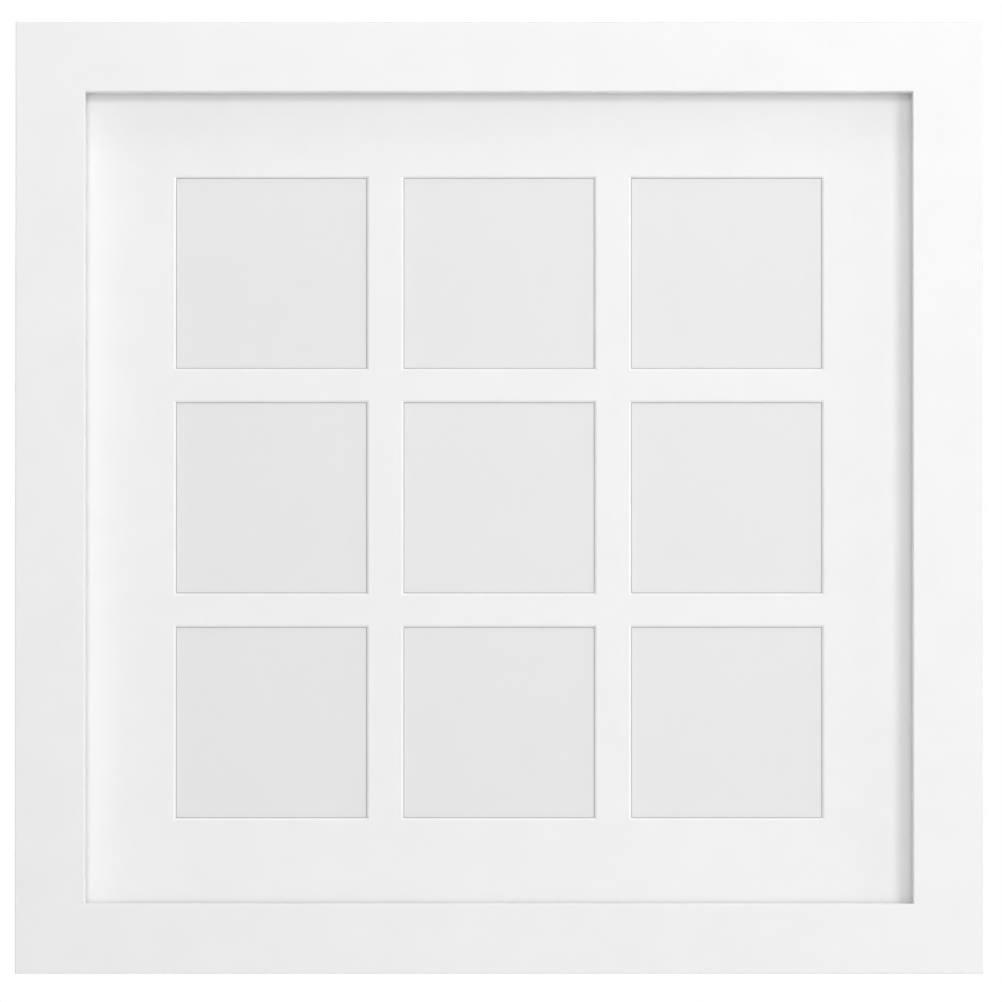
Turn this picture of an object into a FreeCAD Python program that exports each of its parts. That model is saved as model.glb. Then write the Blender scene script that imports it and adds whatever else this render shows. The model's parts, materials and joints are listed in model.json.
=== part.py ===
import FreeCAD
import Part
import math
import os
import re
import Sketcher

# Wall-hung collage photo frame with nine square windows.
# X runs to the viewer's right, Z up, and the frame faces -Y.
# The origin is the centre of the frame, in the plane of the rails' back faces.
# A level is a distance in front of that plane, so a negative level lies behind it.

SIZES = {
    # Four mitred rails with a rebate behind the lip
    "frame_width": 485.0,
    "frame_height": 477.0,
    "rail_width": 34.8,
    "rail_depth": 20.0,
    "rebate_width": 6.0,
    "rebate_depth": 8.0,
    "outer_rounding": 1.0,
    "sight_rounding": 0.6,
    # Sheets stacked in the rebate, from the glazing back
    "sheet_clearance": 1.0,
    "glazing_thickness": 1.0,
    "mat_thickness": 1.4,
    "print_thickness": 0.3,
    "backing_thickness": 2.0,
    "panel_thickness": 3.0,
    # Windows of the mat, measured at its back, and the prints behind them
    "window_width": 95.4,
    "window_height": 94.8,
    "window_pitch_across": 114.6,
    "window_pitch_down": 113.1,
    "window_bevel": 1.4,
    "print_width": 101.6,
    "print_height": 101.6,
    # Angled nails across each mitre
    "nail_leg": 6.0,
    "nail_gauge": 0.6,
    "nail_height": 7.0,
    "outer_nail_inset": 8.0,
    "inner_nail_inset": 18.0,
    # Pan-head screws
    "screw_radius": 1.45,
    "screw_length": 9.5,
    "screw_tip": 2.5,
    "pilot_clearance": 0.05,
    "head_radius": 2.8,
    "head_height": 1.9,
    "head_rounding": 0.8,
    "recess_span": 3.0,
    "recess_slot": 0.7,
    "recess_depth": 1.1,
    # Turn buttons that hold the back panel
    "button_width": 11.0,
    "button_reach": 16.0,
    "button_thickness": 1.2,
    "button_rounding": 0.3,
    "button_from_rebate": 8.0,
    "button_spacing_across": 240.0,
    "button_spacing_down": 270.0,
    "pivot_clearance": 0.08,
    "turning_clearance": 0.05,
    # Ring hangers on the side rails
    "hanger_height": 92.0,
    "strap_width": 11.0,
    "strap_length": 24.0,
    "strap_thickness": 0.8,
    "strap_rounding": 3.0,
    "strap_hole_drop": 7.0,
    "ring_wire_radius": 1.0,
    "ring_width": 18.0,
    "ring_height": 14.0,
    "ring_corner": 3.0,
    "eye_clearance": 0.08,
    "ring_rest_gap": 0.3,
    # Soft bumpers behind the corners
    "bumper_radius": 5.5,
    "bumper_thickness": 4.0,
    "bumper_rounding": 0.8,
    "bumper_inset_across": 45.0,
}

# Two lengths closer than this are the same
TOLERANCE = 1e-5
COUNT_ACROSS = 3
COUNT_DOWN = 3
EYE_OPEN_DEGREES = 70.0

# Half sizes and levels that several pieces share
HALF_WIDTH = "(frame_width / 2)"
HALF_HEIGHT = "(frame_height / 2)"
BACK_WIDTH = "(rail_width - rebate_width)"
SHEET_WIDTH = "(frame_width - 2 * rail_width + 2 * rebate_width - 2 * sheet_clearance)"
SHEET_HEIGHT = "(frame_height - 2 * rail_width + 2 * rebate_width - 2 * sheet_clearance)"
GLAZING_LEVEL = "(rebate_depth - glazing_thickness)"
MAT_LEVEL = f"({GLAZING_LEVEL} - mat_thickness)"
PRINT_LEVEL = f"({MAT_LEVEL} - print_thickness)"
BACKING_LEVEL = f"({PRINT_LEVEL} - backing_thickness)"
PANEL_LEVEL = f"({BACKING_LEVEL} - panel_thickness)"
BUTTON_INSET = f"({BACK_WIDTH} - button_from_rebate)"
EYE_RADIUS = "(ring_wire_radius + eye_clearance + strap_thickness)"
HANGER_INSET = f"({BACK_WIDTH} / 2)"

doc = FreeCAD.newDocument("PhotoFrame")
sheet = doc.addObject("Spreadsheet::Sheet", "Sizes")
for row, (alias, size) in enumerate(SIZES.items(), start=1):
    sheet.set(f"A{row}", alias)
    sheet.set(f"B{row}", str(size))
    sheet.setAlias(f"B{row}", alias)
doc.recompute()
subparts = []


def value(expression):
    """The number that an expression of the sheet's sizes gives."""
    return float(sheet.evalExpression(expression))


def bound(expression):
    """The expression with each size's name led by the sheet's."""
    return re.sub(r"[a-z][a-z_]+", lambda name: f"Sizes.{name[0]}", expression)


def bind(target, path, expression):
    """Sets a property from an expression of the sheet's sizes."""
    target.setExpression(path, bound(expression))


def new_body(label):
    body = doc.addObject("PartDesign::Body", label)
    body.Label = label
    return body


def place(piece, across, up, turn=0.0, behind="0"):
    """Turns a piece about the Y axis and moves it to its place."""
    piece.Placement = FreeCAD.Placement(
        FreeCAD.Vector(value(across), value(behind), value(up)),
        FreeCAD.Rotation(FreeCAD.Vector(0, 1, 0), turn),
    )
    bind(piece, "Placement.Base.x", across)
    bind(piece, "Placement.Base.y", behind)
    bind(piece, "Placement.Base.z", up)


def new_sketch(body, name, role="XZ_Plane", level="0"):
    """A sketch on one of the body's own planes, set forward by its level."""
    planes = [plane for plane in body.Origin.OriginFeatures if plane.Role == role]
    sketch = body.newObject("Sketcher::SketchObject", name)
    sketch.AttachmentSupport = (planes[0], [""])
    sketch.MapMode = "FlatFace"
    bind(sketch, "AttachmentOffset.Base.z", level)
    return sketch


def fix_point(sketch, geometry, position, across, up):
    """Ties one point of a sketch to the sheet's sizes."""
    for kind, axis, expression in (("DistanceX", -2, across), ("DistanceY", -1, up)):
        distance = value(expression)
        if abs(distance) < TOLERANCE:
            sketch.addConstraint(
                Sketcher.Constraint("PointOnObject", geometry, position, axis)
            )
            continue
        index = sketch.addConstraint(
            Sketcher.Constraint(kind, -1, 1, geometry, position, distance)
        )
        bind(sketch, f"Constraints[{index}]", expression)


def add_outline(sketch, points):
    """A closed outline of straight lines through points given as expressions."""
    corners = [FreeCAD.Vector(value(across), value(up), 0) for across, up in points]
    first = sketch.GeometryCount
    count = len(points)
    for index in range(count):
        line = Part.LineSegment(corners[index], corners[(index + 1) % count])
        sketch.addGeometry(line, False)
    for index in range(count):
        following = first + (index + 1) % count
        sketch.addConstraint(
            Sketcher.Constraint("Coincident", first + index, 2, following, 1)
        )
    for index, (across, up) in enumerate(points):
        fix_point(sketch, first + index, 1, across, up)


def add_rectangle(sketch, width, height, across="0", up="0"):
    left = f"{across} - {width} / 2"
    right = f"{across} + {width} / 2"
    low = f"{up} - {height} / 2"
    high = f"{up} + {height} / 2"
    add_outline(sketch, [(left, low), (right, low), (right, high), (left, high)])


def add_circle(sketch, radius, across="0", up="0"):
    centre = FreeCAD.Vector(value(across), value(up), 0)
    circle = Part.Circle(centre, FreeCAD.Vector(0, 0, 1), value(radius))
    index = sketch.addGeometry(circle, False)
    fix_point(sketch, index, 3, across, up)
    constraint = sketch.addConstraint(
        Sketcher.Constraint("Radius", index, value(radius))
    )
    bind(sketch, f"Constraints[{constraint}]", radius)


def add_arc(sketch, centre, radius, start, end):
    """An arc whose centre and radius are tied to the sheet's sizes."""
    middle = FreeCAD.Vector(value(centre[0]), value(centre[1]), 0)
    circle = Part.Circle(middle, FreeCAD.Vector(0, 0, 1), value(radius))
    arc = Part.ArcOfCircle(circle, math.radians(start), math.radians(end))
    index = sketch.addGeometry(arc, False)
    fix_point(sketch, index, 3, *centre)
    constraint = sketch.addConstraint(
        Sketcher.Constraint("Radius", index, value(radius))
    )
    bind(sketch, f"Constraints[{constraint}]", radius)
    return index


def add_line(sketch, start, end):
    points = [FreeCAD.Vector(value(across), value(up), 0) for across, up in (start, end)]
    return sketch.addGeometry(Part.LineSegment(*points), False)


def join(sketch, first, first_end, second, second_end):
    """Joins two ends so that the curve runs smoothly on."""
    sketch.addConstraint(
        Sketcher.Constraint("Tangent", first, first_end, second, second_end)
    )


def pad(body, sketch, length, midplane=False):
    feature = body.newObject("PartDesign::Pad", f"{body.Label}_pad")
    feature.Profile = sketch
    bind(feature, "Length", length)
    feature.Midplane = midplane
    sketch.Visibility = False
    return feature


def pocket(body, sketch, depth):
    """Cuts forward from the sketch and checks that it took something away."""
    doc.recompute()
    before = body.Shape.Volume
    feature = body.newObject("PartDesign::Pocket", f"{body.Label}_pocket")
    feature.Profile = sketch
    feature.Reversed = True
    bind(feature, "Length", depth)
    sketch.Visibility = False
    doc.recompute()
    if not body.Shape.Volume < before:
        raise ValueError(f"{body.Label}: a pocket cuts nothing")
    return feature


def round_edges(body, radius, wanted):
    """Rounds the edges whose every vertex passes the test."""
    doc.recompute()
    base = body.Tip
    edges = []
    for index, edge in enumerate(body.Shape.Edges, start=1):
        if all(wanted(vertex.Point) for vertex in edge.Vertexes):
            edges.append(f"Edge{index}")
    if not edges:
        raise ValueError(f"{body.Label}: no edge to round")
    feature = body.newObject("PartDesign::Fillet", f"{body.Label}_rounding")
    feature.Base = (base, edges)
    bind(feature, "Radius", radius)
    doc.recompute()
    return feature


def near(first, second):
    return math.isclose(first, second, abs_tol=TOLERANCE)


def nail_outline(side, top, half_across, half_up, inset):
    """The right-angled outline of a nail whose bend lies on the mitre."""
    across = f"{side} * ({half_across} - {inset})"
    up = f"{top} * ({half_up} - {inset})"
    leg_across = f"{side} * ({half_across} - {inset} - nail_leg)"
    leg_up = f"{top} * ({half_up} - {inset} - nail_leg)"
    web_across = f"{side} * ({half_across} - {inset} - nail_gauge)"
    web_up = f"{top} * ({half_up} - {inset} - nail_gauge)"
    return [
        (across, up),
        (leg_across, up),
        (leg_across, web_up),
        (web_across, web_up),
        (web_across, leg_up),
        (across, leg_up),
    ]


def make_rail(label, length, reach, turn, pilots):
    """A mitred rail, drawn as the top one and turned about Y to its side."""
    body = new_body(label)
    half = f"({length} / 2)"

    def mitred(sketch, width):
        add_outline(
            sketch,
            [
                (f"-{half}", reach),
                (half, reach),
                (f"{half} - {width}", f"{reach} - {width}"),
                (f"-{half} + {width}", f"{reach} - {width}"),
            ],
        )

    lip = new_sketch(body, f"{label}_lip", level="rebate_depth")
    mitred(lip, "rail_width")
    pad(body, lip, "rail_depth - rebate_depth")
    back = new_sketch(body, f"{label}_back")
    mitred(back, BACK_WIDTH)
    pad(body, back, "rebate_depth")

    front = -value("rail_depth")
    outer = value(reach)
    sight = value(f"{reach} - rail_width")
    for radius, depth, height in (
        ("outer_rounding", front, outer),
        ("outer_rounding / 2", 0, outer),
        ("sight_rounding", front, sight),
    ):
        round_edges(
            body,
            radius,
            lambda point: near(point.y, depth) and near(point.z, height),
        )

    slots = new_sketch(body, f"{label}_nail_slots")
    for side in (-1, 1):
        for inset in ("outer_nail_inset", "inner_nail_inset"):
            add_outline(slots, nail_outline(side, 1, half, reach, inset))
    pocket(body, slots, "nail_height")
    holes = new_sketch(body, f"{label}_pilot_holes")
    for across, up in pilots:
        add_circle(holes, "(screw_radius + pilot_clearance)", across, up)
    pocket(body, holes, "screw_length")
    place(body, "0", "0", turn)
    subparts.append(body)


def make_rails():
    across = [f"{side} * button_spacing_across / 2" for side in (-1, 1)]
    down = [f"{side} * button_spacing_down / 2" for side in (-1, 1)]
    across_pilots = [(along, f"{HALF_HEIGHT} - {BUTTON_INSET}") for along in across]
    down_pilots = [(along, f"{HALF_WIDTH} - {BUTTON_INSET}") for along in down]
    hanger = "(hanger_height - strap_hole_drop)"
    hanger_up = f"{HALF_WIDTH} - {HANGER_INSET}"
    make_rail("top_rail", "frame_width", HALF_HEIGHT, 0, across_pilots)
    make_rail("bottom_rail", "frame_width", HALF_HEIGHT, 180, across_pilots)
    make_rail(
        "right_rail",
        "frame_height",
        HALF_WIDTH,
        90,
        down_pilots + [(f"-{hanger}", hanger_up)],
    )
    make_rail(
        "left_rail",
        "frame_height",
        HALF_WIDTH,
        -90,
        down_pilots + [(hanger, hanger_up)],
    )


def make_corner_nails():
    for label, side, top in (
        ("corner_nails_top_left", -1, 1),
        ("corner_nails_top_right", 1, 1),
        ("corner_nails_bottom_left", -1, -1),
        ("corner_nails_bottom_right", 1, -1),
    ):
        body = new_body(label)
        sketch = new_sketch(body, f"{label}_outline")
        for inset in ("outer_nail_inset", "inner_nail_inset"):
            add_outline(sketch, nail_outline(side, top, HALF_WIDTH, HALF_HEIGHT, inset))
        pad(body, sketch, "nail_height")
        subparts.append(body)


def make_sheet(label, level, thickness, width=SHEET_WIDTH, height=SHEET_HEIGHT):
    body = new_body(label)
    sketch = new_sketch(body, f"{label}_outline", level=level)
    add_rectangle(sketch, width, height)
    pad(body, sketch, thickness)
    subparts.append(body)
    return body


def window_places():
    """The centres of the windows, in rows from the top left."""
    for row in range(COUNT_DOWN):
        for column in range(COUNT_ACROSS):
            across = f"({column - (COUNT_ACROSS - 1) / 2} * window_pitch_across)"
            up = f"({(COUNT_DOWN - 1) / 2 - row} * window_pitch_down)"
            yield across, up


def make_mat():
    """The mat board, with windows whose cut edges slope outwards to its face."""
    body = make_sheet("mat_board", MAT_LEVEL, "mat_thickness")
    doc.recompute()
    before = body.Shape.Volume
    for number, (across, up) in enumerate(window_places(), start=1):
        rear = new_sketch(body, f"window_{number}_rear", level=MAT_LEVEL)
        add_rectangle(rear, "window_width", "window_height", across, up)
        face = new_sketch(
            body, f"window_{number}_face", level=f"{MAT_LEVEL} + mat_thickness"
        )
        add_rectangle(
            face,
            "(window_width + 2 * window_bevel)",
            "(window_height + 2 * window_bevel)",
            across,
            up,
        )
        cut = body.newObject("PartDesign::SubtractiveLoft", f"window_{number}")
        cut.Profile = rear
        cut.Sections = [face]
        cut.Ruled = True
        doc.recompute()
        if not body.Shape.Volume < before:
            raise ValueError(f"window {number} cuts nothing")
        before = body.Shape.Volume


def make_prints():
    for number, (across, up) in enumerate(window_places(), start=1):
        body = make_sheet(
            f"photo_card_{number}",
            PRINT_LEVEL,
            "print_thickness",
            "print_width",
            "print_height",
        )
        place(body, across, up)


def button_places():
    """Each turn button's name, pivot and turn about Y from pointing down."""
    top = f"({HALF_HEIGHT} - {BUTTON_INSET})"
    side = f"({HALF_WIDTH} - {BUTTON_INSET})"
    across = "(button_spacing_across / 2)"
    down = "(button_spacing_down / 2)"
    return [
        ("turn_button_top_left", f"-{across}", top, 0),
        ("turn_button_top_right", across, top, 0),
        ("turn_button_right_upper", side, down, 90),
        ("turn_button_right_lower", side, f"-{down}", 90),
        ("turn_button_bottom_right", across, f"-{top}", 180),
        ("turn_button_bottom_left", f"-{across}", f"-{top}", 180),
        ("turn_button_left_lower", f"-{side}", f"-{down}", -90),
        ("turn_button_left_upper", f"-{side}", down, -90),
    ]


def make_turn_button(label, across, up, turn):
    """A flat plate with round ends, its hole at one of them."""
    body = new_body(label)
    half = "(button_width / 2)"
    tip = f"(button_reach - {half})"
    sketch = new_sketch(body, f"{label}_outline", level="-button_thickness")
    head = add_arc(sketch, ("0", "0"), half, 0, 180)
    foot = add_arc(sketch, ("0", f"-{tip}"), half, 180, 360)
    left = add_line(sketch, (f"-{half}", "0"), (f"-{half}", f"-{tip}"))
    right = add_line(sketch, (half, f"-{tip}"), (half, "0"))
    join(sketch, head, 2, left, 1)
    join(sketch, left, 2, foot, 1)
    join(sketch, foot, 2, right, 1)
    join(sketch, right, 2, head, 1)
    pad(body, sketch, "button_thickness")
    outer = value("button_thickness")
    round_edges(body, "button_rounding", lambda point: near(point.y, outer))
    hole = new_sketch(body, f"{label}_hole", level="-button_thickness")
    add_circle(hole, "(screw_radius + pivot_clearance)")
    pocket(body, hole, "button_thickness")
    place(body, across, up, turn)
    subparts.append(body)


def make_screw(label, across, up, seat):
    """A pan-head screw with a cross recess, its head resting at the seat."""
    body = new_body(label)
    profile = new_sketch(body, f"{label}_profile", role="XY_Plane")
    add_outline(
        profile,
        [
            ("0", "head_height"),
            ("head_radius", "head_height"),
            ("head_radius", "0"),
            ("screw_radius", "0"),
            ("screw_radius", "-screw_length + screw_tip"),
            ("0", "-screw_length"),
        ],
    )
    turned = body.newObject("PartDesign::Revolution", f"{label}_turning")
    turned.Profile = profile
    turned.ReferenceAxis = (profile, ["V_Axis"])
    turned.Angle = 360
    profile.Visibility = False
    top = value("head_height")
    round_edges(body, "head_rounding", lambda point: near(point.y, top))
    recess = new_sketch(body, f"{label}_recess", level="-head_height")
    slot = "(recess_slot / 2)"
    span = "(recess_span / 2)"
    add_outline(
        recess,
        [
            (slot, slot),
            (slot, span),
            (f"-{slot}", span),
            (f"-{slot}", slot),
            (f"-{span}", slot),
            (f"-{span}", f"-{slot}"),
            (f"-{slot}", f"-{slot}"),
            (f"-{slot}", f"-{span}"),
            (slot, f"-{span}"),
            (slot, f"-{slot}"),
            (span, f"-{slot}"),
            (span, slot),
        ],
    )
    pocket(body, recess, "recess_depth")
    place(body, across, up, behind=seat)
    return body


def group(label, bodies):
    compound = doc.addObject("Part::Compound", label)
    compound.Label = label
    compound.Links = bodies
    subparts.append(compound)


def make_turn_buttons():
    screws = []
    seat = "(button_thickness + turning_clearance)"
    for label, across, up, turn in button_places():
        make_turn_button(label, across, up, turn)
        screws.append(make_screw(f"screw_of_{label}", across, up, seat))
    group("turn_button_screws", screws)


def make_strap(label, across):
    """The strap that is screwed to a rail, its upper end rolled into an eye."""
    body = new_body(label)
    sketch = new_sketch(body, f"{label}_profile", role="YZ_Plane")
    centre = (EYE_RADIUS, "0")
    inside = f"({EYE_RADIUS} - strap_thickness)"
    opened = -EYE_OPEN_DEGREES
    lip = []
    for radius in (EYE_RADIUS, inside):
        lip.append(
            (
                f"{EYE_RADIUS} + {radius} * cos({opened} deg)",
                f"{radius} * sin({opened} deg)",
            )
        )
    outer = add_arc(sketch, centre, EYE_RADIUS, opened, 180)
    inner = add_arc(sketch, centre, inside, opened, 180)
    rear = add_line(sketch, ("0", "0"), ("0", "-strap_length"))
    end = add_line(sketch, ("0", "-strap_length"), ("strap_thickness", "-strap_length"))
    face = add_line(sketch, ("strap_thickness", "-strap_length"), ("strap_thickness", "0"))
    edge = add_line(sketch, *lip)
    join(sketch, outer, 2, rear, 1)
    join(sketch, inner, 2, face, 2)
    for first, first_end, second, second_end in (
        (rear, 2, end, 1),
        (end, 2, face, 1),
        (outer, 1, edge, 1),
        (inner, 1, edge, 2),
    ):
        sketch.addConstraint(
            Sketcher.Constraint("Coincident", first, first_end, second, second_end)
        )
    fix_point(sketch, end, 1, "0", "-strap_length")
    fix_point(sketch, end, 2, "strap_thickness", "-strap_length")
    pad(body, sketch, "strap_width", midplane=True)
    foot = value("-strap_length")
    half = value("strap_width / 2")
    doc.recompute()
    base = body.Tip
    corners = []
    for index, corner in enumerate(body.Shape.Edges, start=1):
        points = [vertex.Point for vertex in corner.Vertexes]
        if all(near(point.z, foot) and near(abs(point.x), half) for point in points):
            if near(points[0].x, points[-1].x):
                corners.append(f"Edge{index}")
    rounding = body.newObject("PartDesign::Fillet", f"{label}_rounding")
    rounding.Base = (base, corners)
    bind(rounding, "Radius", "strap_rounding")
    hole = new_sketch(body, f"{label}_hole", level="-strap_thickness")
    add_circle(hole, "(screw_radius + pivot_clearance)", "0", "-strap_hole_drop")
    pocket(body, hole, "strap_thickness")
    place(body, across, "hanger_height")
    subparts.append(body)


def make_ring(label, across):
    """A wire ring with a straight bar in the eye, hanging down over its strap."""
    body = new_body(label)
    half = "(ring_width / 2 - ring_wire_radius)"
    bend = "ring_corner"
    low = f"(ring_height - {half})"
    path = new_sketch(body, f"{label}_path")
    bar = add_line(path, (f"-{half} + {bend}", "0"), (f"{half} - {bend}", "0"))
    right_bend = add_arc(path, (f"{half} - {bend}", f"-{bend}"), bend, 0, 90)
    right = add_line(path, (half, f"-{bend}"), (half, f"-{low}"))
    bow = add_arc(path, ("0", f"-{low}"), half, 180, 360)
    left = add_line(path, (f"-{half}", f"-{low}"), (f"-{half}", f"-{bend}"))
    left_bend = add_arc(path, (f"-{half} + {bend}", f"-{bend}"), bend, 90, 180)
    join(path, bar, 2, right_bend, 2)
    join(path, right_bend, 1, right, 1)
    join(path, right, 2, bow, 2)
    join(path, bow, 1, left, 1)
    join(path, left, 2, left_bend, 2)
    join(path, left_bend, 1, bar, 1)
    section = new_sketch(body, f"{label}_section", role="YZ_Plane")
    add_circle(section, "ring_wire_radius")
    pipe = body.newObject("PartDesign::AdditivePipe", f"{label}_pipe")
    pipe.Profile = section
    pipe.Spine = (path, [])
    path.Visibility = False
    section.Visibility = False
    tilt = math.degrees(math.asin(value("(ring_rest_gap - eye_clearance) / ring_height")))
    body.Placement = FreeCAD.Placement(
        FreeCAD.Vector(value(across), value(EYE_RADIUS), value("hanger_height")),
        FreeCAD.Rotation(FreeCAD.Vector(1, 0, 0), tilt),
    )
    bind(body, "Placement.Base.x", across)
    bind(body, "Placement.Base.y", EYE_RADIUS)
    bind(body, "Placement.Base.z", "hanger_height")
    subparts.append(body)


def make_hangers():
    place_across = f"({HALF_WIDTH} - {HANGER_INSET})"
    screws = []
    for side, across in (("left", f"-{place_across}"), ("right", place_across)):
        make_strap(f"hanger_strap_{side}", across)
        make_ring(f"hanger_ring_{side}", across)
        up = "(hanger_height - strap_hole_drop)"
        screws.append(make_screw(f"screw_of_{side}_strap", across, up, "strap_thickness"))
    group("hanger_screws", screws)


def make_bumpers():
    across = f"({HALF_WIDTH} - bumper_inset_across)"
    up = f"({HALF_HEIGHT} - {BACK_WIDTH} / 2)"
    for label, place_across, place_up in (
        ("wall_bumper_top_left", f"-{across}", up),
        ("wall_bumper_top_right", across, up),
        ("wall_bumper_bottom_left", f"-{across}", f"-{up}"),
        ("wall_bumper_bottom_right", across, f"-{up}"),
    ):
        body = new_body(label)
        sketch = new_sketch(body, f"{label}_outline", level="-bumper_thickness")
        add_circle(sketch, "bumper_radius")
        pad(body, sketch, "bumper_thickness")
        outer = value("bumper_thickness")
        round_edges(body, "bumper_rounding", lambda point: near(point.y, outer))
        place(body, place_across, place_up)
        subparts.append(body)


make_rails()
make_corner_nails()
make_sheet("glazing_sheet", GLAZING_LEVEL, "glazing_thickness")
make_mat()
make_prints()
make_sheet("backing_card", BACKING_LEVEL, "backing_thickness")
make_sheet("back_panel", PANEL_LEVEL, "panel_thickness")
make_turn_buttons()
make_hangers()
make_bumpers()
doc.recompute()

for item in doc.Objects:
    if {"Invalid", "Error"} & set(item.State):
        raise ValueError(f"{item.Label} failed: {item.State}")
os.makedirs("parts", exist_ok=True)
for piece in subparts:
    if piece.Shape.isNull() or not piece.Shape.isValid():
        raise ValueError(f"{piece.Label} has no valid shape")
    piece.Shape.exportStep(f"parts/{piece.Label}.step")
    box = piece.Shape.BoundBox
    print(
        f"{piece.Label}: {len(piece.Shape.Solids)} solid(s),"
        f" {piece.Shape.Volume:.1f} mm3,"
        f" X {box.XMin:.2f} {box.XMax:.2f},"
        f" Y {box.YMin:.2f} {box.YMax:.2f},"
        f" Z {box.ZMin:.2f} {box.ZMax:.2f}"
    )
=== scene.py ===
import json
import math

import bmesh
import bpy
from bpy.props import FloatProperty
from bpy.props import FloatVectorProperty
from bpy.props import IntProperty
from bpy.props import PointerProperty
from mathutils import Matrix
from mathutils import Vector


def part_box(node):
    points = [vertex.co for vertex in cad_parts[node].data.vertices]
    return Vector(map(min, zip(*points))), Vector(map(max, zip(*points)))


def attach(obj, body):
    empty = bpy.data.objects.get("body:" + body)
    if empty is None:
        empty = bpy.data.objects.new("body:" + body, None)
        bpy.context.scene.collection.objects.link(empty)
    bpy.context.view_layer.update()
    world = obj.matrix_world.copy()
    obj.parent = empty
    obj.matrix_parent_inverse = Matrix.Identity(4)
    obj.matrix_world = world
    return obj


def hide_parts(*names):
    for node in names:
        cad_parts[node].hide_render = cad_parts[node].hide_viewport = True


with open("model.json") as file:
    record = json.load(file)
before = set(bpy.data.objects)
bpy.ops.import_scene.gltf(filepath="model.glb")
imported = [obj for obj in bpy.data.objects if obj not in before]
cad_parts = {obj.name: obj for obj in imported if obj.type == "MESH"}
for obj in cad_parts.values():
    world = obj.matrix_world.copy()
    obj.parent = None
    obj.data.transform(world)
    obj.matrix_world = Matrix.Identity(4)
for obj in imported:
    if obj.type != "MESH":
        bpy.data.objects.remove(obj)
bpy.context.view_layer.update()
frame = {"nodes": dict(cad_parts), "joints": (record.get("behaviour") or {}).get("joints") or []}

bl_info = {
    "name": "Collage Photo Frame",
    "version": (1, 0, 0),
    "blender": (4, 5, 0),
    "location": "View3D > Sidebar > Photo Frame",
    "description": "Finishes a wall-hung photo frame with nine bevel-cut windows",
    "category": "Object",
}

FIXED_BODY = "frame"
RAILS = (("top_rail", 0), ("right_rail", 90), ("bottom_rail", 180), ("left_rail", 270))
CORNERS = ("top_left", "top_right", "bottom_left", "bottom_right")
WINDOW_COUNT = 9
ACROSS = Vector((1, 0, 0))
BACKWARD = Vector((0, 1, 0))
UP = Vector((0, 0, 1))

# Points closer than the weld become one, and levels closer than the touch agree
WELD = 1e-7
TOUCH = 1e-6
# Edges turned further than the crease are sharp, and further than the rim eased
CREASE = math.radians(35)
RIM = math.radians(60)
# How much of a normal lies along an axis, on a flat face and on one turned away
FLAT = 0.9999
SLANT = 0.4

# Facets of round pieces and of their eased edges
EASING_STEPS = 2
BUTTON_STEPS = 20
BUTTON_RIM_STEPS = 3
CATCH_STEPS = 12
CATCH_CROWN_STEPS = 4
HEAD_STEPS = 6
SCREW_STEPS = 36
EYE_STEPS = 28
FOOT_STEPS = 8
WIRE_STEPS = 20
BEND_STEPS = 10
BOW_STEPS = 32
BUMPER_STEPS = 40
FLOOR_STEPS = 96

# Nails and buttons, as shares of their own sizes
NAIL_LEG = 0.375
BUTTON_EASING = 0.3
HOLE_CLEAR = 1.2
CATCH_WIDTH = 0.36
CATCH_LENGTH = 0.34
CATCH_DROP = 0.62
CATCH_RISE = 0.28
CATCH_ROUNDING = 0.9

# Screws, in metres, and how far each is turned past the last, in degrees
HEAD_HEIGHT = 0.0019
SHANK_RADIUS = 0.00145
SCREW_TIP = 0.0025
SCREW_TURN = 37.0
# Their heads, as shares of the head's radius and height
CROWN_INNER = 0.64
CROWN_FOOT = 0.34
HEAD_RIM = 0.12
HEAD_SEAT = 0.96
RECESS_SPAN = 1.08
RECESS_SLOT = 0.25
RECESS_DEPTH = 0.58
RECESS_FLOOR = 0.6
# Their threads, as shares of one ridge's length and of the shank's radius
RIDGES = 7
RIDGE = ((0.35, 0.74), (0.5, 1.0), (0.65, 0.74))

# A bumper's outline, as shares of its radius and its height
BUMPER_OUTLINE = (
    (0, 0),
    (0.95, 0),
    (1, 0.06),
    (1, 0.5),
    (0.985, 0.68),
    (0.94, 0.82),
    (0.86, 0.92),
    (0.74, 0.98),
    (0.6, 1),
    (0, 1),
)

# Metals, and how their streaks are stretched along X, Y and Z
NAIL_STEEL = (0.24, 0.24, 0.25)
SCREW_STEEL = (0.46, 0.46, 0.47)
NICKEL = (0.5, 0.49, 0.47)
EVEN = (1, 1, 1)
BRUSHED = (1, 1, 0.12)

# Each lamp's azimuth and height in degrees, its distance, and its two sides
LAMPS = (
    ("side", 35.5, 17.5, 2.0, (0.51, 2.3)),
    ("top", 0.0, 21.5, 2.6, (1.39, 0.36)),
    ("high", 0.0, 66.0, 4.5, (2.2, 1.6)),
    ("far", 74.0, 8.0, 4.5, (1.6, 2.2)),
    ("front", 0.0, 0.0, 3.6, (2.6, 2.6)),
    ("rear", 212.0, 35.0, 2.5, (1.6, 1.2)),
)
SENSOR_WIDTH = 36.0
VIEW_DEPTH = 50.0
WHITE = (1.0, 1.0, 1.0, 1.0)
FLOOR_RADIUS = 3.0
FLOOR_COLOUR = (0.9, 0.9, 0.9, 1.0)
# From the middle, where the floor starts to fade and where it ends white
FLOOR_FADE = (0.75, 1.3)


# Settings


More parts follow.
